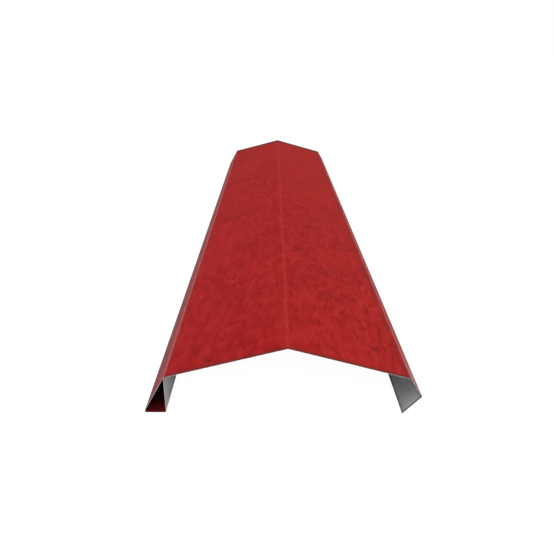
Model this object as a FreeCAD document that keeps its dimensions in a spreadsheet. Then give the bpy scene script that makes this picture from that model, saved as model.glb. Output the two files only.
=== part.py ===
import FreeCAD, Part
import math
import os

import Sketcher

# Roof ridge cap, press-braked from one flat strip of coated steel sheet.
# The section lies in the XZ plane, with the ridge fold above the origin and the
# floor at Z = 0, and it runs the whole length of the cap along Y.
# The left edge is folded into a closed, hollow, three-sided hem, and the right
# edge into an open flange with a return.

NODE = "ridge_cap"

# Driving dimensions in millimetres, and in degrees for the slope
SIZES = [
    ("sheet_length", 2000.0, "length that the cap is sold in"),
    ("sheet_thickness", 0.5, "coated steel sheet"),
    ("bend_radius", 2.0, "inside radius of every bend"),
    ("wing_width", 194.0, "ridge fold to edge fold, along the slope"),
    ("wing_slope", 15.0, "fall of each wing below the horizontal"),
    ("fold_height", 61.5, "edge folds above the floor"),
    ("hem_flare", 33.0, "how far the hem's outer flange leans out"),
    ("hem_foot_width", 34.5, "flat foot under the hem"),
    ("upstand_inset", 0.5, "hem's inner upstand, inboard of the edge fold"),
    ("upstand_gap", 2.0, "upstand's free edge, below the wing"),
    ("flange_flare", 19.5, "how far the right flange leans out"),
    ("elbow_height", 30.5, "right elbow above the floor"),
    ("return_reach", 28.5, "how far the right return comes back in"),
]

# A sketch counts the points of a line or arc up from 1, and its own axes down from -1.
START, END, CENTRE = range(1, 4)
HORIZONTAL_AXIS, VERTICAL_AXIS = range(-1, -3, -1)
ORIGIN = (HORIZONTAL_AXIS, START)
ACROSS = "DistanceX"
UPWARDS = "DistanceY"

# The upstand's free edge stands just clear of the wing above it.
UPSTAND_LEVEL = (
    "Sizes.fold_height + Sizes.upstand_inset * tan(Sizes.wing_slope)"
    " - Sizes.sheet_thickness / cos(Sizes.wing_slope) - Sizes.upstand_gap"
)


def make_sheet(doc):
    """Spreadsheet of the driving dimensions, one alias for each."""
    sheet = doc.addObject("Spreadsheet::Sheet", "Sizes")
    for row, (alias, value, meaning) in enumerate(SIZES, start=1):
        sheet.set(f"A{row}", meaning)
        sheet.set(f"B{row}", str(value))
        sheet.setAlias(f"B{row}", alias)
    doc.recompute()
    return sheet


def fold_points(size):
    """The section's corners on its outer face, from the hem's free edge to the return's.

    The upstand's free edge is only near its place here, and its named size brings it there.
    """
    slope = math.radians(size.wing_slope)
    half_span = size.wing_width * math.cos(slope)
    ridge_height = size.fold_height + size.wing_width * math.sin(slope)
    foot_outer = -half_span - size.hem_flare
    elbow = half_span + size.flange_flare
    corners = [
        (-half_span + size.upstand_inset, size.fold_height - size.upstand_gap),
        (foot_outer + size.hem_foot_width, 0.0),
        (foot_outer, 0.0),
        (-half_span, size.fold_height),
        (0.0, ridge_height),
        (half_span, size.fold_height),
        (elbow, size.elbow_height),
        (elbow - size.return_reach, 0.0),
    ]
    return [FreeCAD.Vector(x, z, 0.0) for x, z in corners]


def underside(direction):
    """Unit vector towards the sheet's underside, to the right of the way the section runs."""
    return FreeCAD.Vector(direction.y, -direction.x, 0.0)


def bend_arc(centre, radius, first, last):
    """Clockwise bend from first to last, drawn as the counter-clockwise arc that it covers."""
    begin = math.atan2(last.y - centre.y, last.x - centre.x)
    finish = math.atan2(first.y - centre.y, first.x - centre.x)
    if finish < begin:
        finish += 2.0 * math.pi
    circle = Part.Circle(centre, FreeCAD.Vector(0.0, 0.0, 1.0), radius)
    return Part.ArcOfCircle(circle, begin, finish)


def draw_face(sketch, points, directions, size, depth):
    """One face of the folded sheet: its flat legs and the bends between them."""
    radius = size.bend_radius + size.sheet_thickness - depth
    outer_radius = size.bend_radius + size.sheet_thickness
    leg_starts = [points[0] + underside(directions[0]) * depth]
    leg_ends = []
    bends = []
    for corner, before, after in zip(points[1:-1], directions, directions[1:]):
        setback = outer_radius * math.tan(before.getAngle(after) / 2.0)
        centre = corner - before * setback + underside(before) * outer_radius
        first = centre - underside(before) * radius
        last = centre - underside(after) * radius
        leg_ends.append(first)
        leg_starts.append(last)
        bends.append(sketch.addGeometry(bend_arc(centre, radius, first, last), False))
    leg_ends.append(points[-1] + underside(directions[-1]) * depth)
    legs = [
        sketch.addGeometry(Part.LineSegment(first, last), False)
        for first, last in zip(leg_starts, leg_ends)
    ]
    for index, bend in enumerate(bends):
        sketch.addConstraint(Sketcher.Constraint("Tangent", legs[index], END, bend, END))
        sketch.addConstraint(Sketcher.Constraint("Tangent", bend, START, legs[index + 1], START))
    for bend in bends[1:]:
        sketch.addConstraint(Sketcher.Constraint("Equal", bends[0], bend))
    return legs, bends


def close_end(sketch, outer_leg, inner_leg, which):
    """Square cut across the sheet at one free edge of the section."""
    first = sketch.getPoint(outer_leg, which)
    last = sketch.getPoint(inner_leg, which)
    cut = sketch.addGeometry(Part.LineSegment(first, last), False)
    sketch.addConstraint(Sketcher.Constraint("Coincident", cut, START, outer_leg, which))
    sketch.addConstraint(Sketcher.Constraint("Coincident", cut, END, inner_leg, which))
    sketch.addConstraint(Sketcher.Constraint("Perpendicular", cut, outer_leg))
    sketch.addConstraint(Sketcher.Constraint("Perpendicular", cut, inner_leg))


def add_size(sketch, kind, first, last, name, expression):
    """A named distance between two points, bound to the sheet."""
    offset = sketch.getPoint(*last) - sketch.getPoint(*first)
    drawn = offset.x if kind == ACROSS else offset.y
    index = sketch.addConstraint(Sketcher.Constraint(kind, *first, *last, drawn))
    sketch.renameConstraint(index, name)
    sketch.setExpression(f"Constraints.{name}", expression)


def add_radius(sketch, bend, name, expression):
    """A named bend radius, bound to the sheet."""
    drawn = sketch.Geometry[bend].Radius
    index = sketch.addConstraint(Sketcher.Constraint("Radius", bend, drawn))
    sketch.renameConstraint(index, name)
    sketch.setExpression(f"Constraints.{name}", expression)


def draw_section(sketch, size):
    """The folded section: two parallel faces, square free edges and named sizes."""
    points = fold_points(size)
    directions = [(last - first).normalize() for first, last in zip(points, points[1:])]
    legs, bends = draw_face(sketch, points, directions, size, 0.0)
    back_legs, back_bends = draw_face(sketch, points, directions, size, size.sheet_thickness)
    for bend, back_bend in zip(bends, back_bends):
        sketch.addConstraint(Sketcher.Constraint("Coincident", bend, CENTRE, back_bend, CENTRE))
    close_end(sketch, legs[0], back_legs[0], START)
    close_end(sketch, legs[-1], back_legs[-1], END)

    corners = []
    for corner, before, after in zip(points[1:-1], legs, legs[1:]):
        mark = sketch.addGeometry(Part.Point(corner), True)
        sketch.addConstraint(Sketcher.Constraint("PointOnObject", mark, START, before))
        sketch.addConstraint(Sketcher.Constraint("PointOnObject", mark, START, after))
        corners.append((mark, START))
    foot_inner, foot_outer, left_fold, ridge, right_fold, elbow = corners
    upstand_edge = (legs[0], START)
    return_edge = (legs[-1], END)

    for on_floor in (foot_inner, foot_outer, return_edge):
        sketch.addConstraint(Sketcher.Constraint("PointOnObject", *on_floor, HORIZONTAL_AXIS))
    sketch.addConstraint(Sketcher.Constraint("PointOnObject", *ridge, VERTICAL_AXIS))
    sketch.addConstraint(Sketcher.Constraint("Symmetric", *left_fold, *right_fold, VERTICAL_AXIS))

    add_radius(sketch, back_bends[0], "inside_bend", "Sizes.bend_radius")
    add_radius(sketch, bends[0], "outside_bend", "Sizes.bend_radius + Sizes.sheet_thickness")
    add_size(sketch, ACROSS, left_fold, ridge, "wing_run", "Sizes.wing_width * cos(Sizes.wing_slope)")
    add_size(sketch, UPWARDS, left_fold, ridge, "wing_rise", "Sizes.wing_width * sin(Sizes.wing_slope)")
    add_size(sketch, UPWARDS, ORIGIN, left_fold, "fold_level", "Sizes.fold_height")
    add_size(sketch, ACROSS, foot_outer, left_fold, "hem_lean", "Sizes.hem_flare")
    add_size(sketch, ACROSS, foot_outer, foot_inner, "hem_foot", "Sizes.hem_foot_width")
    add_size(sketch, ACROSS, left_fold, upstand_edge, "upstand_line", "Sizes.upstand_inset")
    add_size(sketch, UPWARDS, ORIGIN, upstand_edge, "upstand_level", UPSTAND_LEVEL)
    add_size(sketch, ACROSS, right_fold, elbow, "flange_lean", "Sizes.flange_flare")
    add_size(sketch, UPWARDS, ORIGIN, elbow, "elbow_level", "Sizes.elbow_height")
    add_size(sketch, ACROSS, return_edge, elbow, "return_run", "Sizes.return_reach")


def make_ridge_cap(doc, size):
    """The cap: its section, padded both ways from the middle of its length."""
    body = doc.addObject("PartDesign::Body", "RidgeCap")
    body.Label = NODE
    plane = next(item for item in body.Origin.OriginFeatures if item.Role == "XZ_Plane")
    section = body.newObject("Sketcher::SketchObject", "Section")
    section.AttachmentSupport = [(plane, "")]
    section.MapMode = "FlatFace"
    draw_section(section, size)
    length = body.newObject("PartDesign::Pad", "Length")
    length.Profile = section
    length.SideType = "Symmetric"
    length.setExpression("Length", "Sizes.sheet_length")
    return body


def check(doc, parts):
    """Stop before anything is written if a feature failed or a solid is bad."""
    for item in doc.Objects:
        if "Invalid" in item.State or "Error" in item.State:
            raise RuntimeError(f"{item.Label} failed to build")
    for part in parts:
        if part.Shape.isNull() or not part.Shape.isValid():
            raise RuntimeError(f"{part.Label} has no valid solid")


def main():
    doc = FreeCAD.newDocument("RidgeCap")
    size = make_sheet(doc)
    parts = [make_ridge_cap(doc, size)]
    doc.recompute()
    check(doc, parts)
    os.makedirs("parts", exist_ok=True)
    for part in parts:
        box = part.Shape.BoundBox
        part.Shape.exportStep(f"parts/{part.Label}.step")
        print(part.Label, "volume", round(part.Shape.Volume, 1), "mm3, box", box)


main()
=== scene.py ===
# %% [markdown]
# # A roof ridge cap, folded from one strip of coated steel
#
# A ridge cap covers the line where two roof slopes meet. This one is a single strip of thin steel
# sheet, painted in the coil and then folded on a press brake: two wide wings, a hollow three-sided
# hem along the left edge, and an open flange with a return along the right edge.
#
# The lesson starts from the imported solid, which fixes where everything is. The looks are then
# built around it: the paints and the cut metal, the folded sheet itself, and a plain studio.

import functools
import math

import bpy
from mathutils import Matrix, Vector


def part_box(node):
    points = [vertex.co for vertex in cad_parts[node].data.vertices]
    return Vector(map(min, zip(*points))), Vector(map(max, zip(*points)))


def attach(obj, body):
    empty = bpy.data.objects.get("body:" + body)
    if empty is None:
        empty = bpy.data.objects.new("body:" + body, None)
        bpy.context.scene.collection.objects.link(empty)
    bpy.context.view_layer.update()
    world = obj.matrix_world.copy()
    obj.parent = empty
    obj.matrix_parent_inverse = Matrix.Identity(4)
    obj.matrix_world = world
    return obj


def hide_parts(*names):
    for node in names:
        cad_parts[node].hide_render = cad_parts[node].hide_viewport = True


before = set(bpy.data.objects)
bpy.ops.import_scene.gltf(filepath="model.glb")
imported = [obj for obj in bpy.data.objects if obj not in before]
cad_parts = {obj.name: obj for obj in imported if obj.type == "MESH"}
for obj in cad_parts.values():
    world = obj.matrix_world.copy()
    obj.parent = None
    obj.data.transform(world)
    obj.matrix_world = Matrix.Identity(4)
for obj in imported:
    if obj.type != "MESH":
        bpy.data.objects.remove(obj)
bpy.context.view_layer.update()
cap_low, cap_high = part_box("ridge_cap")
print("packed nodes:", len(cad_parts), "with the cap from", cap_low, "to", cap_high)

# %% [markdown]
# ## The section
#
# Every fold of the real cap runs its whole length, so eight corners say all there is to say about
# its shape. They are the corners of the sheet's outer face, walked from the free edge inside the
# hem, round the hem's foot, over the two wings, and down to the free edge of the return.
# They could be typed in as points. Working them out from the sizes that a sheet-metal worker
# would quote keeps the numbers few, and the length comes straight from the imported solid.

# %% Section sizes, in metres
MM = 0.001
SHEET_THICKNESS = 0.5 * MM
INSIDE_BEND = 2 * MM
OUTSIDE_BEND = INSIDE_BEND + SHEET_THICKNESS
WING_WIDTH = 194 * MM
WING_SLOPE = math.radians(15)
FOLD_HEIGHT = 61.5 * MM
HEM_FLARE = 33 * MM
HEM_FOOT = 34.5 * MM
UPSTAND_INSET = 0.5 * MM
UPSTAND_GAP = 2 * MM
FLANGE_FLARE = 19.5 * MM
ELBOW_HEIGHT = 30.5 * MM
RETURN_REACH = 28.5 * MM

cap_length = cap_high.y - cap_low.y
cap_end = cap_length / 2
print(f"the cap is {cap_length / MM:.0f} mm long")

# %% [markdown]
# The corners follow from the sizes. The ridge stands above the origin, both edge folds are at the
# same height, and the foot of the hem and the lip of the return touch the floor. The free edge
# inside the hem ends just below the wing.

# %% Corners of the section
half_span = WING_WIDTH * math.cos(WING_SLOPE)
ridge_height = FOLD_HEIGHT + WING_WIDTH * math.sin(WING_SLOPE)
wing_depth = SHEET_THICKNESS / math.cos(WING_SLOPE)
upstand_top = FOLD_HEIGHT + UPSTAND_INSET * math.tan(WING_SLOPE) - wing_depth - UPSTAND_GAP
foot_outer = -half_span - HEM_FLARE
elbow = half_span + FLANGE_FLARE

section = {
    "upstand edge": (-half_span + UPSTAND_INSET, upstand_top),
    "foot inner": (foot_outer + HEM_FOOT, 0.0),
    "foot outer": (foot_outer, 0.0),
    "left fold": (-half_span, FOLD_HEIGHT),
    "ridge": (0.0, ridge_height),
    "right fold": (half_span, FOLD_HEIGHT),
    "elbow": (elbow, ELBOW_HEIGHT),
    "return edge": (elbow - RETURN_REACH, 0.0),
}
for name, (x, z) in section.items():
    print(f"{name}: {x / MM:.1f} mm across, {z / MM:.1f} mm up")

# %% [markdown]
# A rounded fold takes up a little less sheet than two straight legs that meet in a sharp corner.
# This cell walks the section and notes how far along the sheet the middle of each fold lies. The
# paints meet at folds and wear along them, so the materials and the sheet both need it.

# %% Where each fold lies along the sheet


def fold_places(corners, radius):
    """Distance along the outer face from its first free edge to each corner's fold."""
    points = [Vector((x, z, 0.0)) for x, z in corners.values()]
    places = [0.0]
    for before, corner, after in zip(points, points[1:], points[2:]):
        turn = (corner - before).angle(after - corner)
        saved = 2 * radius * math.tan(turn / 2) - radius * turn
        places.append(places[-1] + (corner - before).length - saved)
    places.append(places[-1] + (points[-1] - points[-2]).length)
    return dict(zip(corners, places))


across_at = fold_places(section, OUTSIDE_BEND)
print(f"the outer face is {across_at['return edge'] / MM:.1f} mm wide when flat")

# %% [markdown]
# ## Paints and metal
#
# One small function adds a node, sets its options and links its inputs. It serves the materials,
# the studio and the folded sheet alike, so each recipe below reads as a list of what feeds what.
# Another turns the hex colours of a paint chart into the linear values that shaders use.

# %% Helpers for nodes and colours


def add_node(tree, kind, feeds=None, **settings):
    """Add one node. A feed is a value, a node, a (node, output name) pair, or a list of nodes."""
    node = tree.nodes.new(kind)
    for name, value in settings.items():
        setattr(node, name, value)
    for key, feed in (feeds or {}).items():
        live = [socket for socket in node.inputs if socket.enabled]
        socket = live[key] if isinstance(key, int) else next(s for s in live if s.name == key)
        for source in feed if isinstance(feed, list) else [feed]:
            is_pair = isinstance(source, tuple) and len(source) == 2
            giver, wanted = source if is_pair else (source, None)
            if isinstance(giver, bpy.types.Node):
                outputs = [s for s in giver.outputs if s.enabled and wanted in (None, s.name)]
                tree.links.new(outputs[0], socket)
            else:
                socket.default_value = source
    return node


def linear(hex_colour):
    """Linear RGBA of an sRGB hex colour, by the standard's own curve."""
    shares = [int(hex_colour[start:start + 2], 16) / 255 for start in (1, 3, 5)]
    curve = [s / 12.92 if s <= 0.04045 else ((s + 0.055) / 1.055) ** 2.4 for s in shares]
    return (*curve, 1.0)


def start_material(name):
    """New material, and the function that adds nodes to its emptied tree."""
    material = bpy.data.materials.new(name)
    material.use_nodes = True
    material.node_tree.nodes.clear()
    return material, functools.partial(add_node, material.node_tree)


print("node and colour helpers are ready")

# %% [markdown]
# A paint is built up here as a base colour and layers over it. A layer is a tint, with a share
# that says how strongly it covers what lies below at each place. One function turns a table of
# such layers into nodes. Another puts the layers over each other and finishes the material.
# Most shares come from noise, which is smoother or rougher by how many finer octaves it adds.

# %% Helpers for layers of paint
SMOOTH_NOISE = 1.0
SOFT_NOISE = 2.0
UNEVEN_NOISE = 3.0
ROUGH_NOISE = 4.0


def distance_from(node, reading, middle):
    """How far a reading is from a middle value, to either side."""
    offset = node("ShaderNodeMath", {0: reading, 1: middle}, operation="SUBTRACT")
    return node("ShaderNodeMath", {0: offset}, operation="ABSOLUTE")


def tint_layers(node, rows):
    """Layers of share and tint.

    Each row has a tint, its largest share, a reading, the readings where the tint starts and where
    it is full, and then any other shares that hold it back.
    """
    layers = []
    for tint, most, reading, starts, full, *limits in rows:
        share = node("ShaderNodeMapRange", {
            "Value": reading, "From Min": starts, "From Max": full, "To Max": most})
        for limit in limits:
            share = node("ShaderNodeMath", {0: share, 1: limit}, operation="MULTIPLY")
        layers.append((share, tint))
    return layers


def finish_material(node, colour, layers, feeds):
    """Lay each tint over the colour by its share, and wire up the shader and the output."""
    for share, tint in layers:
        colour = node("ShaderNodeMix", {"Factor": share, "A": colour, "B": tint}, data_type="RGBA")
    surface = node("ShaderNodeBsdfPrincipled", {"Base Color": colour, **feeds})
    node("ShaderNodeOutputMaterial", {"Surface": surface})


print("layer helpers are ready, for noise of", SMOOTH_NOISE, "to", ROUGH_NOISE, "octaves")

# %% [markdown]
# ### Red polyester coil coating
#
# The outer face is a red polyester paint, rolled on to the flat coil and baked. It is matte, with
# a very fine pebbled grain. To the eye it gives a deep even red that hardly shines, with soft
# clouds in its tone, faint marks along the way the coil ran, and a few specks and scuffs.
#
# A painted picture would tie the finish to one size of cap, while noise on Object coordinates
# works at any size. The first readings say where a point is: its place and its parts, and how far
# across the section it lies, which the sheet below stores as an attribute.

# %% Start the red coat
COAT_RED = linear("#ab1719")

red, coat = start_material("red_polyester_coil_coating")
place = (coat("ShaderNodeTexCoord"), "Object")
parts = coat("ShaderNodeSeparateXYZ", {"Vector": place})
sideways = (parts, "X")
along = (parts, "Y")
height = (parts, "Z")
across = (coat("ShaderNodeAttribute", attribute_name="across"), "Fac")
print(red.name, "starts with", len(red.node_tree.nodes), "nodes that say where a point is")

# %% [markdown]
# The roller leaves three patterns: wide clouds, a mottle and marks. The last two are noise pulled
# long, because the coil ran along the cap's length. The right wing is also painted a little warmer,
# as painted warm light.

# %% Rolled finish
COAT_DEEP = linear("#900f12")
COAT_PALE = linear("#bb2b29")
COAT_WARM_LIGHT = linear("#ab1f11")
CLOUD_SIZE = 110 * MM
MOTTLE_SIZE = (14 * MM, 30 * MM, 14 * MM)
MARK_SIZE = (6.5 * MM, 26 * MM, 6.5 * MM)
WARM_LIGHT_FADE = 60 * MM

clouds = coat("ShaderNodeTexNoise", {
    "Vector": place, "Scale": 1 / CLOUD_SIZE, "Detail": SOFT_NOISE})
pulled_places = [
    coat("ShaderNodeMapping", {"Vector": place, "Scale": tuple(1 / size for size in sizes)})
    for sizes in (MOTTLE_SIZE, MARK_SIZE)
]
mottle, marks = [
    coat("ShaderNodeTexNoise", {"Vector": pulled, "Scale": 1.0, "Detail": SOFT_NOISE})
    for pulled in pulled_places
]
red_layers = tint_layers(coat, [
    # Painted warm light: the right wing is tinted warmer than the left.
    (COAT_WARM_LIGHT, 0.5, sideways, -WARM_LIGHT_FADE, WARM_LIGHT_FADE),
    (COAT_DEEP, 0.6, clouds, 0.35, 0.7),
    (COAT_PALE, 0.7, mottle, 0.4, 0.75),
])
print("rolled finish:", len(red_layers), "layers")

# %% [markdown]
# Handling darkens the mottle into blotches and brings out the marks. The near end and the right
# wing have had the most of it, and every part has had it in patches, so three shares that say so
# are multiplied. Each of them has a least value, because no part has been spared.

# %% Marks of handling
MARK_DARK = linear("#840d10")
PATCH_SIZE = 80 * MM
HANDLED_MOST = -800 * MM
HANDLED_LEAST = 900 * MM

patches = coat("ShaderNodeTexNoise", {
    "Vector": place, "Scale": 1 / PATCH_SIZE, "Detail": SMOOTH_NOISE})
handled_readings = (
    (patches, 0.4, 0.6, 0.35),
    (along, HANDLED_LEAST, HANDLED_MOST, 0.5),
    (sideways, -half_span, half_span, 0.4),
)
in_patches, near_most, right_most = [
    coat("ShaderNodeMapRange", {
        "Value": reading, "From Min": starts, "From Max": full, "To Min": least})
    for reading, starts, full, least in handled_readings
]
handled = in_patches
for share in (near_most, right_most):
    handled = coat("ShaderNodeMath", {0: handled, 1: share}, operation="MULTIPLY")
red_layers += tint_layers(coat, [
    (MARK_DARK, 0.35, mottle, 0.5, 0.25, right_most),
    (MARK_DARK, 1.0, marks, 0.57, 0.68, handled),
    (COAT_PALE, 1.0, marks, 0.43, 0.32, handled),
])
print("with the marks of handling:", len(red_layers), "layers")

# %% [markdown]
# Specks and scuffs are spots in the cells of a Voronoi pattern, twice as long as they are wide.
# Each cell also has a random colour, which serves as its luck: only a lucky cell shows its spot.

# %% Specks and scuffs
SPECK_DARK = linear("#6a1114")
PALE_SCUFF_AND_HIGHLIGHT = linear("#c8443e")
SPECK_STRETCH = 2.0
SPECKS = ((24 * MM, 3.5 * MM, SPECK_DARK), (55 * MM, 3 * MM, PALE_SCUFF_AND_HIGHLIGHT))
LUCK_STARTS = 0.5
LUCK_FULL = 0.85

long_place = coat("ShaderNodeMapping", {"Vector": place, "Scale": (1.0, 1 / SPECK_STRETCH, 1.0)})
for spacing, radius, tint in SPECKS:
    cells = coat("ShaderNodeTexVoronoi", {
        "Vector": long_place, "Scale": 1 / spacing}, voronoi_dimensions="2D")
    luck = (coat("ShaderNodeSeparateColor", {"Color": (cells, "Color")}), "Red")
    shown = coat("ShaderNodeMapRange", {
        "Value": luck, "From Min": LUCK_STARTS, "From Max": LUCK_FULL})
    red_layers += tint_layers(coat, [(tint, 1.0, cells, radius / spacing, 0.0, shown, handled)])
print("with specks and scuffs:", len(red_layers), "layers")

# %% [markdown]
# Grime, painted shade and painted highlights follow the folds. A painted highlight runs along the
# ridge and just outside the two edge folds, where the bends catch the light. Grime has settled
# beside the two edge folds, the paint is darker around the elbow, and painted shade darkens the
# hem's outer flange and foot towards the ground. All of it follows the sheet, so it reads the
# distance across the section.

# %% Grime, painted shade and painted highlights along the folds
FOLD_PAINTED_HIGHLIGHT = linear("#d86a6e")
MAUVE_PAINTED_SHADE = linear("#54303c")
BROWN_GRIME_AND_SHADE = linear("#5a2a28")
FOLD_GRIME_SHADE_AND_HIGHLIGHTS = (
    (BROWN_GRIME_AND_SHADE, 0.35, "left fold", 0.0, 9 * MM),
    (BROWN_GRIME_AND_SHADE, 0.45, "right fold", 0.0, 16 * MM),
    # Painted shade: the hem's outer flange and foot are darker towards the ground.
    (MAUVE_PAINTED_SHADE, 0.7, "foot outer", 0.0, 60 * MM),
    # Darker around the elbow.
    (BROWN_GRIME_AND_SHADE, 0.3, "elbow", 0.0, 25 * MM),
    # Painted highlights along the two edge folds and the ridge.
    (FOLD_PAINTED_HIGHLIGHT, 0.75, "left fold", -1.5 * MM, 5 * MM),
    (FOLD_PAINTED_HIGHLIGHT, 0.6, "right fold", 1.5 * MM, 5 * MM),
    (PALE_SCUFF_AND_HIGHLIGHT, 0.3, "ridge", 0.0, 5 * MM),
)

for tint, most, fold, shift, reach in FOLD_GRIME_SHADE_AND_HIGHLIGHTS:
    from_line = distance_from(coat, across, across_at[fold] + shift)
    red_layers += tint_layers(coat, [(tint, most, from_line, reach, 0.0)])
print("with the folds:", len(red_layers), "layers")

# %% [markdown]
# The wings have a brown rim at both ends, and painted shade darkens a wider band at the far end.
# The ends of the flanges are scraped, and the right flange carries a paler painted sheen towards
# them.

# %% Rims, scrapes, painted sheen and painted shade at the ends
SCRAPE_MAUVE = linear("#8f6c76")
PAINTED_SHEEN_PALE = linear("#beaca9")
SHEEN_LENGTH = 130 * MM
RIM_LENGTH = 12 * MM
SCRAPED_LENGTH = 9 * MM
FAR_SHADE_LENGTH = 70 * MM

on_wings = coat("ShaderNodeMath", {0: height, 1: FOLD_HEIGHT}, operation="GREATER_THAN")
on_flanges = coat("ShaderNodeMath", {0: 1.0, 1: on_wings}, operation="SUBTRACT")
on_right_flange = coat("ShaderNodeMath", {0: sideways, 1: half_span}, operation="GREATER_THAN")
from_middle = distance_from(coat, along, 0.0)
red_layers += tint_layers(coat, [
    # Painted sheen: the right flange is paler towards its ends.
    (PAINTED_SHEEN_PALE, 0.4, from_middle, cap_end - SHEEN_LENGTH, cap_end, on_right_flange),
    (BROWN_GRIME_AND_SHADE, 0.8, from_middle, cap_end - RIM_LENGTH, cap_end, on_wings),
    (SCRAPE_MAUVE, 0.8, from_middle, cap_end - SCRAPED_LENGTH, cap_end, on_flanges),
    # Painted shade: a wider darker band at the far end of the wings.
    (BROWN_GRIME_AND_SHADE, 0.8, along, cap_end - FAR_SHADE_LENGTH, cap_end, on_wings),
])
print("with the ends:", len(red_layers), "layers")

# %% [markdown]
# The mottle also changes how rough the paint is, and the grain and the marks give it a slight
# relief. The real grain is well under a millimetre, too fine to show on a two-metre piece, so it
# is drawn coarser.

# %% Finish the red coat
GRAIN_SIZE = 2.5 * MM
COAT_RELIEF = 0.3 * MM
COAT_BUMP = 0.25
COAT_SMOOTHEST = 0.5
COAT_ROUGHEST = 0.64
COAT_SPECULAR = 0.18

grain = coat("ShaderNodeTexNoise", {
    "Vector": place, "Scale": 1 / GRAIN_SIZE, "Detail": SOFT_NOISE})
relief = coat("ShaderNodeMath", {0: grain, 1: marks}, operation="ADD")
bump = coat("ShaderNodeBump", {
    "Height": relief, "Strength": COAT_BUMP, "Distance": COAT_RELIEF})
roughness = coat("ShaderNodeMapRange", {
    "Value": mottle, "To Min": COAT_SMOOTHEST, "To Max": COAT_ROUGHEST})
finish_material(coat, COAT_RED, red_layers, {
    "Roughness": roughness, "Normal": bump, "Specular IOR Level": COAT_SPECULAR})
print(red.name, "has", len(red.node_tree.nodes), "nodes")

# %% [markdown]
# ### Grey backing coat
#
# The underside of a coil gets only a thin epoxy primer, in whatever grey the line is running. It
# is dull and uneven, with long streaks from the roller and the dust and rub marks of storage. The
# return stands on the ground, so its lip and its ends are darker, with soil and with painted shade
# where it meets the ground. That share is worked out first.

# %% Soil and painted shade on the return
BACK_SOIL_AND_SHADE = linear("#24211f")
SOIL_AND_SHADE_DEPTH = 5 * MM
END_SOIL_AND_SHADE = 0.9
LIP_SOIL_AND_SHADE = 0.7


def return_soil_and_shade(node, along, across):
    """Share of soil and painted shade on the return, at its ends and along its lip."""
    lip = across_at["return edge"]
    from_middle = distance_from(node, along, 0.0)
    on_return = node("ShaderNodeMath", {0: across, 1: across_at["elbow"]}, operation="GREATER_THAN")
    at_end = node("ShaderNodeMapRange", {
        "Value": from_middle, "From Min": cap_end - SOIL_AND_SHADE_DEPTH, "From Max": cap_end,
        "To Max": END_SOIL_AND_SHADE})
    end_darkening = node("ShaderNodeMath", {0: at_end, 1: on_return}, operation="MULTIPLY")
    lip_darkening = node("ShaderNodeMapRange", {
        "Value": across, "From Min": lip - SOIL_AND_SHADE_DEPTH, "From Max": lip, "To Max": LIP_SOIL_AND_SHADE})
    return node("ShaderNodeMath", {0: end_darkening, 1: lip_darkening}, operation="MAXIMUM")


print("the return is soiled", SOIL_AND_SHADE_DEPTH / MM, "mm deep")

# %% [markdown]
# The rest is layers over a grey again: dark streaks, pale dust in patches, and a bluer painted
# shade on the return that gets deeper from the elbow to the lip.

# %% Grey backing coat
BACK_GREY = linear("#b7b5b4")
BACK_DARK = linear("#a4a3a2")
BACK_PALE = linear("#c8c6c4")
RETURN_PAINTED_SHADE = linear("#56646c")
STREAK_SIZE = (7 * MM, 160 * MM, 7 * MM)
DUST_SIZE = 30 * MM
BACK_RELIEF = 0.2 * MM
BACK_BUMP = 0.15
BACK_SMOOTHEST = 0.45
BACK_ROUGHEST = 0.7
BACK_SPECULAR = 0.35


def backing_coat():
    """Thin grey epoxy primer with roller streaks, dusty patches, and painted shade and soil on the
    return.
    """
    material, node = start_material("grey_epoxy_backing_coat")
    place = (node("ShaderNodeTexCoord"), "Object")
    along = (node("ShaderNodeSeparateXYZ", {"Vector": place}), "Y")
    across = (node("ShaderNodeAttribute", attribute_name="across"), "Fac")
    pulled = node("ShaderNodeMapping", {
        "Vector": place, "Scale": tuple(1 / size for size in STREAK_SIZE)})
    streaks = node("ShaderNodeTexNoise", {"Vector": pulled, "Scale": 1.0, "Detail": UNEVEN_NOISE})
    dust = node("ShaderNodeTexNoise", {
        "Vector": place, "Scale": 1 / DUST_SIZE, "Detail": ROUGH_NOISE})
    layers = tint_layers(node, [
        (BACK_DARK, 1.0, streaks, 0.5, 0.75),
        (BACK_PALE, 0.7, dust, 0.45, 0.8),
        # Painted shade: the return darkens from the elbow down to its lip.
        (RETURN_PAINTED_SHADE, 0.35, across, across_at["elbow"], across_at["return edge"]),
    ])
    # Soil and painted shade darken the return's lip and ends, where it meets the ground.
    layers.append((return_soil_and_shade(node, along, across), BACK_SOIL_AND_SHADE))
    bump = node("ShaderNodeBump", {
        "Height": streaks, "Strength": BACK_BUMP, "Distance": BACK_RELIEF})
    roughness = node("ShaderNodeMapRange", {
        "Value": dust, "To Min": BACK_SMOOTHEST, "To Max": BACK_ROUGHEST})
    finish_material(node, BACK_GREY, layers, {
        "Roughness": roughness, "Normal": bump, "Specular IOR Level": BACK_SPECULAR})
    return material


grey = backing_coat()
print(grey.name, "has", len(grey.node_tree.nodes), "nodes")

# %% [markdown]
# ### Dark red with painted shade, inside the hem
#
# Inside the hollow hem the sheet is painted a dark red, much duller than the outside: painted
# shade, since little light gets in there. It is less dark at its ends and darker a few centimetres
# in, as deeper painted shade. Soft noise adds patches of darker tone.

# %% Hem red with painted shade
HEM_SHADED_RED = linear("#5e0d11")
HEM_GRIME_AND_SHADE = linear("#340a0b")
GRIME_SIZE = 25 * MM
GRIME_STARTS = 0.4
GRIME_FULL = 0.7
GRIME_MOST = 0.5
SHADE_START_DEPTH = 5 * MM
SHADE_FULL_DEPTH = 34 * MM
HEM_SMOOTHEST = 0.6
HEM_ROUGHEST = 0.8
HEM_SPECULAR = 0.1


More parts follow.
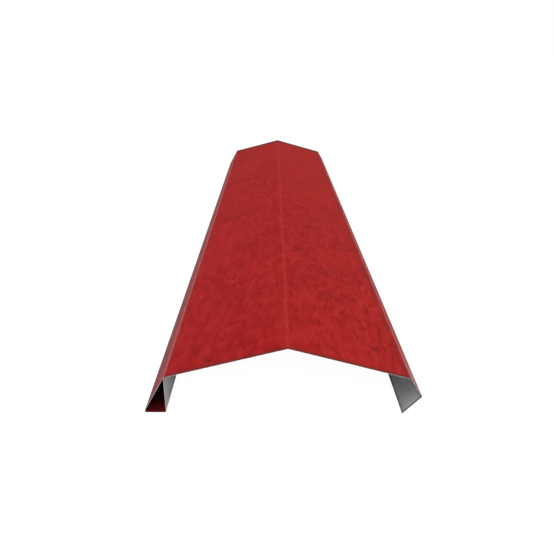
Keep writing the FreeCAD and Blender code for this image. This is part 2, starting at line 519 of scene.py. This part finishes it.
def shaded_hem_paint():
    """Dark red with painted shade inside the hem, with soft darker patches, darker away from the
    ends.
    """
    material, node = start_material("hem_red_painted_shade")
    place = (node("ShaderNodeTexCoord"), "Object")
    along = (node("ShaderNodeSeparateXYZ", {"Vector": place}), "Y")
    patches = node("ShaderNodeTexNoise", {
        "Vector": place, "Scale": 1 / GRIME_SIZE, "Detail": UNEVEN_NOISE})
    patchy = node("ShaderNodeMapRange", {
        "Value": patches, "From Min": GRIME_STARTS, "From Max": GRIME_FULL, "To Max": GRIME_MOST})
    # Painted shade: the red gets darker from just inside each end to a few centimetres in.
    deeper_shade = node("ShaderNodeMapRange", {
        "Value": distance_from(node, along, 0.0),
        "From Min": cap_end - SHADE_START_DEPTH, "From Max": cap_end - SHADE_FULL_DEPTH})
    grime_and_shade = node("ShaderNodeMath", {0: patchy, 1: deeper_shade}, operation="MAXIMUM")
    roughness = node("ShaderNodeMapRange", {
        "Value": patches, "To Min": HEM_SMOOTHEST, "To Max": HEM_ROUGHEST})
    finish_material(node, HEM_SHADED_RED, [(grime_and_shade, HEM_GRIME_AND_SHADE)], {
        "Roughness": roughness, "Specular IOR Level": HEM_SPECULAR})
    return material


hem_paint = shaded_hem_paint()
print(hem_paint.name, "has", len(hem_paint.node_tree.nodes), "nodes")

# %% [markdown]
# ### Sheared galvanised steel
#
# Wherever the strip was cut, its bare edge shows: half a millimetre of zinc-coated steel. Shears
# leave it bright where the blade cut and duller where the metal tore, in fine bars across the
# edge. The low edges, which have stood on the ground, are dark brown, with dirt and a painted dark
# reflection of the ground. It is a metal, so only its colour and its roughness vary.

# %% Cut edge
EDGE_BRIGHT = linear("#e2e3e3")
EDGE_TORN = linear("#a6a9aa")
EDGE_DIRT_AND_DARK_REFLECTION = linear("#4e2b29")
SHEAR_BAR = 3 * MM
TORN_STARTS = 0.4
TORN_FULL = 0.6
DARKENED_LEGS = (("foot inner", "foot outer"), ("elbow", "return edge"))
DARKENED_FADE = 6 * MM
EDGE_SMOOTHEST = 0.3
EDGE_ROUGHEST = 0.55


def cut_edge():
    """Bare galvanised steel, with the bright and torn bars that shears leave."""
    material, node = start_material("sheared_galvanised_steel")
    place = (node("ShaderNodeTexCoord"), "Object")
    across = (node("ShaderNodeAttribute", attribute_name="across"), "Fac")
    bars = node("ShaderNodeTexNoise", {
        "Vector": place, "Scale": 1 / SHEAR_BAR, "Detail": SOFT_NOISE})
    rows = [(EDGE_TORN, 1.0, bars, TORN_STARTS, TORN_FULL)]
    # Dirt and a painted dark reflection of the ground darken the cut edges of the foot and the
    # return.
    for first, last in DARKENED_LEGS:
        middle = (across_at[first] + across_at[last]) / 2
        half_leg = (across_at[last] - across_at[first]) / 2
        from_leg = distance_from(node, across, middle)
        rows.append((EDGE_DIRT_AND_DARK_REFLECTION, 1.0, from_leg, half_leg + DARKENED_FADE, half_leg))
    roughness = node("ShaderNodeMapRange", {
        "Value": bars, "From Min": TORN_STARTS, "From Max": TORN_FULL,
        "To Min": EDGE_SMOOTHEST, "To Max": EDGE_ROUGHEST})
    finish_material(node, EDGE_BRIGHT, tint_layers(node, rows), {
        "Roughness": roughness, "Metallic": 1.0})
    return material


edge = cut_edge()
print(edge.name, "has", len(edge.node_tree.nodes), "nodes")

# %% [markdown]
# ## The folded sheet
#
# The cap could be an extruded outline, but an outline drawn twice, once for each face of a sheet
# half a millimetre thick, is tiresome to change. Geometry Nodes follow the maker instead: take the
# eight corners as a line, round every fold, run the line along the length, and only then give the
# skin its thickness. Each size is a named input, so another cap is a matter of other numbers.

# %% Inputs of the folded sheet
sheet_tree = bpy.data.node_groups.new("folded_sheet", "GeometryNodeTree")
SHEET_INPUTS = {
    "Section": ("NodeSocketGeometry", None),
    "Length": ("NodeSocketFloat", cap_length),
    "Thickness": ("NodeSocketFloat", SHEET_THICKNESS),
    "Outside Bend": ("NodeSocketFloat", OUTSIDE_BEND),
    "Bend Steps": ("NodeSocketInt", 8),
    "Leg Spacing": ("NodeSocketFloat", 14 * MM),
    "Rows": ("NodeSocketInt", 121),
    "Wave Height": ("NodeSocketFloat", 0.6 * MM),
    "Wave Length": ("NodeSocketFloat", 260 * MM),
    "Wave Seed": ("NodeSocketFloat", 7.0),
    "Half Span": ("NodeSocketFloat", half_span),
    "Fold Height": ("NodeSocketFloat", FOLD_HEIGHT),
    "Back Paint Ends": ("NodeSocketFloat", across_at["foot outer"]),
    "Hem Ends": ("NodeSocketFloat", across_at["left fold"]),
    "Face Coat": ("NodeSocketMaterial", red),
    "Back Coat": ("NodeSocketMaterial", grey),
    "Hem Coat": ("NodeSocketMaterial", hem_paint),
    "Cut Edge": ("NodeSocketMaterial", edge),
}
sheet_sockets = {
    name: sheet_tree.interface.new_socket(name=name, in_out="INPUT", socket_type=kind)
    for name, (kind, value) in SHEET_INPUTS.items()
}
sheet_tree.interface.new_socket(name="Sheet", in_out="OUTPUT", socket_type="NodeSocketGeometry")
node = functools.partial(add_node, sheet_tree)
given = node("NodeGroupInput")
print("the folded sheet has", len(sheet_sockets), "inputs")

# %% [markdown]
# First the strip is bent. Fillet Curve rounds the corners, and a count of cuts that depends on
# each stretch's length divides the flat legs without touching the small steps of the folds. The
# distance along the section is stored as an attribute, so every later step knows where it is.

# %% Bend the section
line = node("GeometryNodeMeshToCurve", {"Mesh": (given, "Section")})
bent = node("GeometryNodeFilletCurve", {
    "Curve": line, "Count": (given, "Bend Steps"), "Radius": (given, "Outside Bend")}, mode="POLY")

here = node("GeometryNodeInputPosition")
next_index = node("ShaderNodeMath", {0: node("GeometryNodeInputIndex"), 1: 1.0}, operation="ADD")
next_place = node("GeometryNodeFieldAtIndex", {
    "Value": here, "Index": next_index}, data_type="FLOAT_VECTOR")
stretch = node("ShaderNodeVectorMath", {0: here, 1: next_place}, operation="DISTANCE")
cuts = node("ShaderNodeMath", {
    0: (stretch, "Value"), 1: (given, "Leg Spacing")}, operation="DIVIDE")
divided = node("GeometryNodeSubdivideCurve", {"Curve": bent, "Cuts": cuts})
walked = (node("GeometryNodeSplineParameter"), "Length")
measured = node("GeometryNodeStoreNamedAttribute", {
    "Geometry": divided, "Name": "across", "Value": walked})
print("bent section:", len(sheet_tree.nodes), "nodes so far")

# %% [markdown]
# The bent line is then run along the length. The axis is a straight line from the far end to the
# near one, in equal rows, and its normal is fixed so that the section stays upright on it.

# %% Run the section along the length
half_length = node("ShaderNodeMath", {0: (given, "Length"), 1: 0.5}, operation="MULTIPLY")
near_length = node("ShaderNodeMath", {0: half_length, 1: -1.0}, operation="MULTIPLY")
far_end = node("ShaderNodeCombineXYZ", {"Y": half_length})
near_end = node("ShaderNodeCombineXYZ", {"Y": near_length})
axis = node("GeometryNodeCurvePrimitiveLine", {"Start": far_end, "End": near_end})
rows = node("GeometryNodeResampleCurve", {"Curve": axis, "Count": (given, "Rows")})
level = node("GeometryNodeSetCurveNormal", {"Curve": rows, "Normal": (1.0, 0.0, 0.0)}, mode="FREE")
skin = node("GeometryNodeCurveToMesh", {"Curve": level, "Profile Curve": measured})
print("bent skin:", len(sheet_tree.nodes), "nodes so far")

# %% [markdown]
# Thin wings are never quite flat: they ripple by a fraction of a millimetre, which shows as a
# slow change of tone. The ripple dies away at the folds, which hold the sheet straight, so it
# never reaches past the solid's own box. It is fullest half-way between two folds.

# %% Ripple the wings
MID_WING = 0.5

spot = node("ShaderNodeSeparateXYZ", {"Vector": here})
reach = node("ShaderNodeMath", {0: (spot, "X"), 1: (given, "Half Span")}, operation="DIVIDE")
from_fold = node("ShaderNodeMath", {0: reach, 1: MID_WING}, operation="PINGPONG")
on_wing = node("FunctionNodeCompare", {"A": (spot, "Z"), "B": (given, "Fold Height")})
wave_scale = node("ShaderNodeMath", {0: 1.0, 1: (given, "Wave Length")}, operation="DIVIDE")
wave = node("ShaderNodeTexNoise", {
    "Vector": here, "W": (given, "Wave Seed"), "Scale": wave_scale, "Detail": SMOOTH_NOISE},
    noise_dimensions="4D")
both_ways = node("ShaderNodeMapRange", {
    "Value": wave, "To Min": -1 / MID_WING, "To Max": 1 / MID_WING})
held = node("ShaderNodeMath", {0: both_ways, 1: from_fold}, operation="MULTIPLY")
lift = node("ShaderNodeMath", {0: held, 1: (given, "Wave Height")}, operation="MULTIPLY")
outward = node("GeometryNodeInputNormal")
push = node("ShaderNodeVectorMath", {0: outward, "Scale": lift}, operation="SCALE")
rippled = node("GeometryNodeSetPosition", {
    "Geometry": skin, "Selection": on_wing, "Offset": push})
print("rippled skin:", len(sheet_tree.nodes), "nodes so far")

# %% [markdown]
# The swept skin faces the underside of the cap. Extruding it that way makes the back face and the
# cut edges in one step. The skin itself is then turned to face outwards, the two are joined, and
# the seams between them are merged. Edges sharper than a fold's own small steps are kept crisp.

# %% Give the skin its thickness
SEAM_GAP = 0.01 * MM
CRISP_ANGLE = math.radians(40)

extruded = node("GeometryNodeExtrudeMesh", {
    "Mesh": rippled, "Offset Scale": (given, "Thickness"), "Individual": False})
turned = node("GeometryNodeFlipFaces", {"Mesh": rippled})
joined = node("GeometryNodeJoinGeometry", {"Geometry": [turned, (extruded, "Mesh")]})
closed = node("GeometryNodeMergeByDistance", {"Geometry": joined, "Distance": SEAM_GAP})
smooth = node("GeometryNodeSetShadeSmooth", {"Geometry": closed, "Shade Smooth": True})
turn = (node("GeometryNodeInputMeshEdgeAngle"), "Unsigned Angle")
is_sharp = node("FunctionNodeCompare", {"A": turn, "B": CRISP_ANGLE})
crisp = node("GeometryNodeSetShadeSmooth", {
    "Geometry": smooth, "Selection": is_sharp, "Shade Smooth": False}, domain="EDGE")
whole = node("GeometryNodeRealizeInstances", {"Geometry": crisp})
print("closed sheet:", len(sheet_tree.nodes), "nodes so far")

# %% [markdown]
# The red coat covers the wings and both outer flanges, and a darker red, painted shade, the inside
# of the hem.
# The grey backing covers the underside of the wings, the inside of the right flange and its return,
# and the faces that the hem turns towards the middle of the roof and the ground. The distance that
# is stored on the section tells them apart.

# %% Paint each side
behind = (extruded, "Top")
cut = (extruded, "Side")
walked_here = node("GeometryNodeInputNamedAttribute", {"Name": "across"})
grey_front = node("FunctionNodeCompare", {
    "A": walked_here, "B": (given, "Back Paint Ends")}, operation="LESS_THAN")
grey_back = node("FunctionNodeCompare", {"A": walked_here, "B": (given, "Hem Ends")})
is_grey = node("GeometryNodeSwitch", {
    "Switch": behind, "False": grey_front, "True": grey_back}, input_type="BOOLEAN")
coated = node("GeometryNodeSetMaterial", {"Geometry": whole, "Material": (given, "Face Coat")})
backed = node("GeometryNodeSetMaterial", {
    "Geometry": coated, "Selection": is_grey, "Material": (given, "Back Coat")})
# The inside of the hem gets the darker red, which is painted shade.
in_hem = node("FunctionNodeBooleanMath", {0: behind, 1: grey_back}, operation="NIMPLY")
primed = node("GeometryNodeSetMaterial", {
    "Geometry": backed, "Selection": in_hem, "Material": (given, "Hem Coat")})
finished = node("GeometryNodeSetMaterial", {
    "Geometry": primed, "Selection": cut, "Material": (given, "Cut Edge")})
node("NodeGroupOutput", {"Sheet": finished})
print("the folded sheet has", len(sheet_tree.nodes), "nodes and", len(sheet_tree.links), "links")

# %% [markdown]
# The tree works on a plain line of edges, one vertex for each corner. Its inputs are set by their
# identifiers before the object is evaluated for the first time. The result is then turned into an
# ordinary mesh, which is what an export keeps, and the line and its modifier are put away.

# %% Make the cap


def make_cap():
    """The ridge cap as a plain mesh object, made from the section by the folded sheet tree."""
    line_mesh = bpy.data.meshes.new("section_line")
    points = [(x, z, 0.0) for x, z in section.values()]
    line_mesh.from_pydata(points, [(i, i + 1) for i in range(len(points) - 1)], [])
    pattern = bpy.data.objects.new("section_line", line_mesh)
    bpy.context.scene.collection.objects.link(pattern)
    modifier = pattern.modifiers.new("fold", "NODES")
    modifier.node_group = sheet_tree
    for name, (kind, value) in SHEET_INPUTS.items():
        if value is not None:
            modifier[sheet_sockets[name].identifier] = value
    evaluated = pattern.evaluated_get(bpy.context.evaluated_depsgraph_get())
    mesh = bpy.data.meshes.new_from_object(evaluated)
    # Set Material leaves an empty slot in front of the first material that it adds.
    if mesh.materials[0] is None:
        mesh.materials.pop(index=0)
    pattern.modifiers.remove(modifier)
    bpy.data.objects.remove(pattern)
    mesh.name = "ridge_cap_sheet"
    cap = bpy.data.objects.new("ridge_cap_sheet", mesh)
    bpy.context.scene.collection.objects.link(cap)
    return cap


cap = make_cap()
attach(cap, "root")
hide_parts("ridge_cap")
cap.data.calc_loop_triangles()
print(cap.name, "has", len(cap.data.loop_triangles), "triangles")
print("its materials:", [material.name for material in cap.data.materials])

# %% [markdown]
# ## The studio
#
# A product stands best on plain white. A floor and a sky that really are that bright would wash
# out a matte red, which mirrors them at low angles, and would light the cap from below. So both
# ask, with a Light Path node, what kind of ray has met them. The camera sees a light table that
# glows, and the cap gets only the light that pale acrylic throws back.

# %% Floor
ACRYLIC_WHITE = linear("#fcfcfa")
ACRYLIC_PALE = linear("#dcdde2")
ACRYLIC_GREY = linear("#505050")
ACRYLIC_ROUGHNESS = 0.9
FLOOR_REACH = 40.0
FLOOR_GLOW = 1.0


def light_table():
    """Pale matte acrylic, which looks like a glowing white light table to the camera."""
    material, node = start_material("white_light_table")
    seen = (node("ShaderNodeLightPath"), "Is Camera Ray")
    glow = node("ShaderNodeMath", {0: seen, 1: FLOOR_GLOW}, operation="MULTIPLY")
    finish_material(node, ACRYLIC_PALE, [(seen, ACRYLIC_GREY)], {
        "Roughness": ACRYLIC_ROUGHNESS, "Specular IOR Level": 0.0,
        "Emission Color": ACRYLIC_WHITE, "Emission Strength": glow})
    return material


def make_floor():
    """Large square of light table at the level that the cap stands on."""
    mesh = bpy.data.meshes.new("studio_floor")
    square = [(-1, -1), (1, -1), (1, 1), (-1, 1)]
    corners = [(x * FLOOR_REACH, y * FLOOR_REACH, cap_low.z) for x, y in square]
    mesh.from_pydata(corners, [], [range(len(corners))])
    mesh.materials.append(light_table())
    floor = bpy.data.objects.new("studio_floor", mesh)
    bpy.context.scene.collection.objects.link(floor)
    return floor


floor = make_floor()
print(floor.name, "reaches", FLOOR_REACH, "m each way")

# %% [markdown]
# The sky works in the same way. To the camera it is white. To the cap it is a bright band at the
# horizon, which lights the steep flanges, and it is dim above that.

# %% Sky
SKY_WHITE = linear("#ffffff")
SKY_HORIZON = 1.0
SKY_ABOVE = 0.08
HORIZON_TOP = 0.075
HORIZON_FADE = 0.025


def make_sky():
    """Sky that lights the cap from the horizon and is dim above, but looks white to the camera."""
    world = bpy.data.worlds.new("studio_sky")
    bpy.context.scene.world = world
    world.use_nodes = True
    world.node_tree.nodes.clear()
    node = functools.partial(add_node, world.node_tree)
    direction = (node("ShaderNodeTexCoord"), "Generated")
    height = (node("ShaderNodeSeparateXYZ", {"Vector": direction}), "Z")
    dimmed = node("ShaderNodeMapRange", {
        "Value": height, "From Min": HORIZON_TOP, "From Max": HORIZON_TOP + HORIZON_FADE,
        "To Min": SKY_HORIZON, "To Max": SKY_ABOVE})
    seen = (node("ShaderNodeLightPath"), "Is Camera Ray")
    strength = node("ShaderNodeMath", {0: dimmed, 1: seen}, operation="MAXIMUM")
    background = node("ShaderNodeBackground", {"Color": SKY_WHITE, "Strength": strength})
    node("ShaderNodeOutputWorld", {"Surface": background})
    return world


sky = make_sky()
print(sky.name, "dims from", SKY_HORIZON, "to", SKY_ABOVE)

# %% [markdown]
# Wide suns stand for softboxes: one overhead, a warmer one to the right, and a low one in front
# that reaches in under the cap. A sun lights a two-metre piece evenly from end to end, which an
# area light near it wouldn't.

# %% Lights
LIGHTS = (
    ("overhead", -85, 66, 70, 2.42, "#ffffff"),
    ("right_softbox", -20, 40, 60, 0.2, "#ffd0a0"),
    ("front_fill", -88, 18, 50, 1.6, "#ffffff"),
)


def make_light(name, azimuth, elevation, width, strength, colour):
    """Wide sun. Its azimuth, from +X towards +Y, its elevation and its width are in degrees."""
    light = bpy.data.lights.new(name, "SUN")
    light.energy = strength
    light.angle = math.radians(width)
    light.color = linear(colour)[:3]
    lamp = bpy.data.objects.new(name, light)
    turn = math.radians(azimuth)
    rise = math.radians(elevation)
    source = Vector((
        math.cos(rise) * math.cos(turn), math.cos(rise) * math.sin(turn), math.sin(rise)))
    lamp.rotation_euler = source.to_track_quat("Z", "Y").to_euler()
    bpy.context.scene.collection.objects.link(lamp)


for settings in LIGHTS:
    make_light(*settings)
bpy.context.scene.view_settings.view_transform = "Standard"
print("studio lights:", len(LIGHTS))

# %% [markdown]
# ## The camera
#
# The photograph was taken from just above one end, looking along the ridge. Matching a handful of
# the cap's corners to where they appear in the picture gives the place, the tilt and the lens.

# %% Camera
IMAGE_SIDE = 554
FOCAL_PIXELS = 594.4
SENSOR_WIDTH = 36.0
CAMERA_PLACE = Vector((-0.0264, -1.7762, 0.5328))
CAMERA_PITCH = math.radians(21.595)
CAMERA_YAW = math.radians(0.646)
CAMERA_ROLL = math.radians(0.673)


def make_camera():
    """Camera that looks along +Y, pitched down, turned a little right and rolled a little."""
    camera_data = bpy.data.cameras.new("photo_camera")
    camera_data.sensor_width = SENSOR_WIDTH
    camera_data.lens = SENSOR_WIDTH * FOCAL_PIXELS / IMAGE_SIDE
    camera = bpy.data.objects.new("photo_camera", camera_data)
    upright = Matrix.Rotation(math.pi / 2 - CAMERA_PITCH, 4, "X")
    turned = Matrix.Rotation(-CAMERA_YAW, 4, "Z") @ upright @ Matrix.Rotation(CAMERA_ROLL, 4, "Z")
    camera.matrix_world = Matrix.Translation(CAMERA_PLACE) @ turned
    bpy.context.scene.collection.objects.link(camera)
    bpy.context.scene.camera = camera
    return camera


camera = make_camera()
print("camera lens", round(camera.data.lens, 2), "mm")
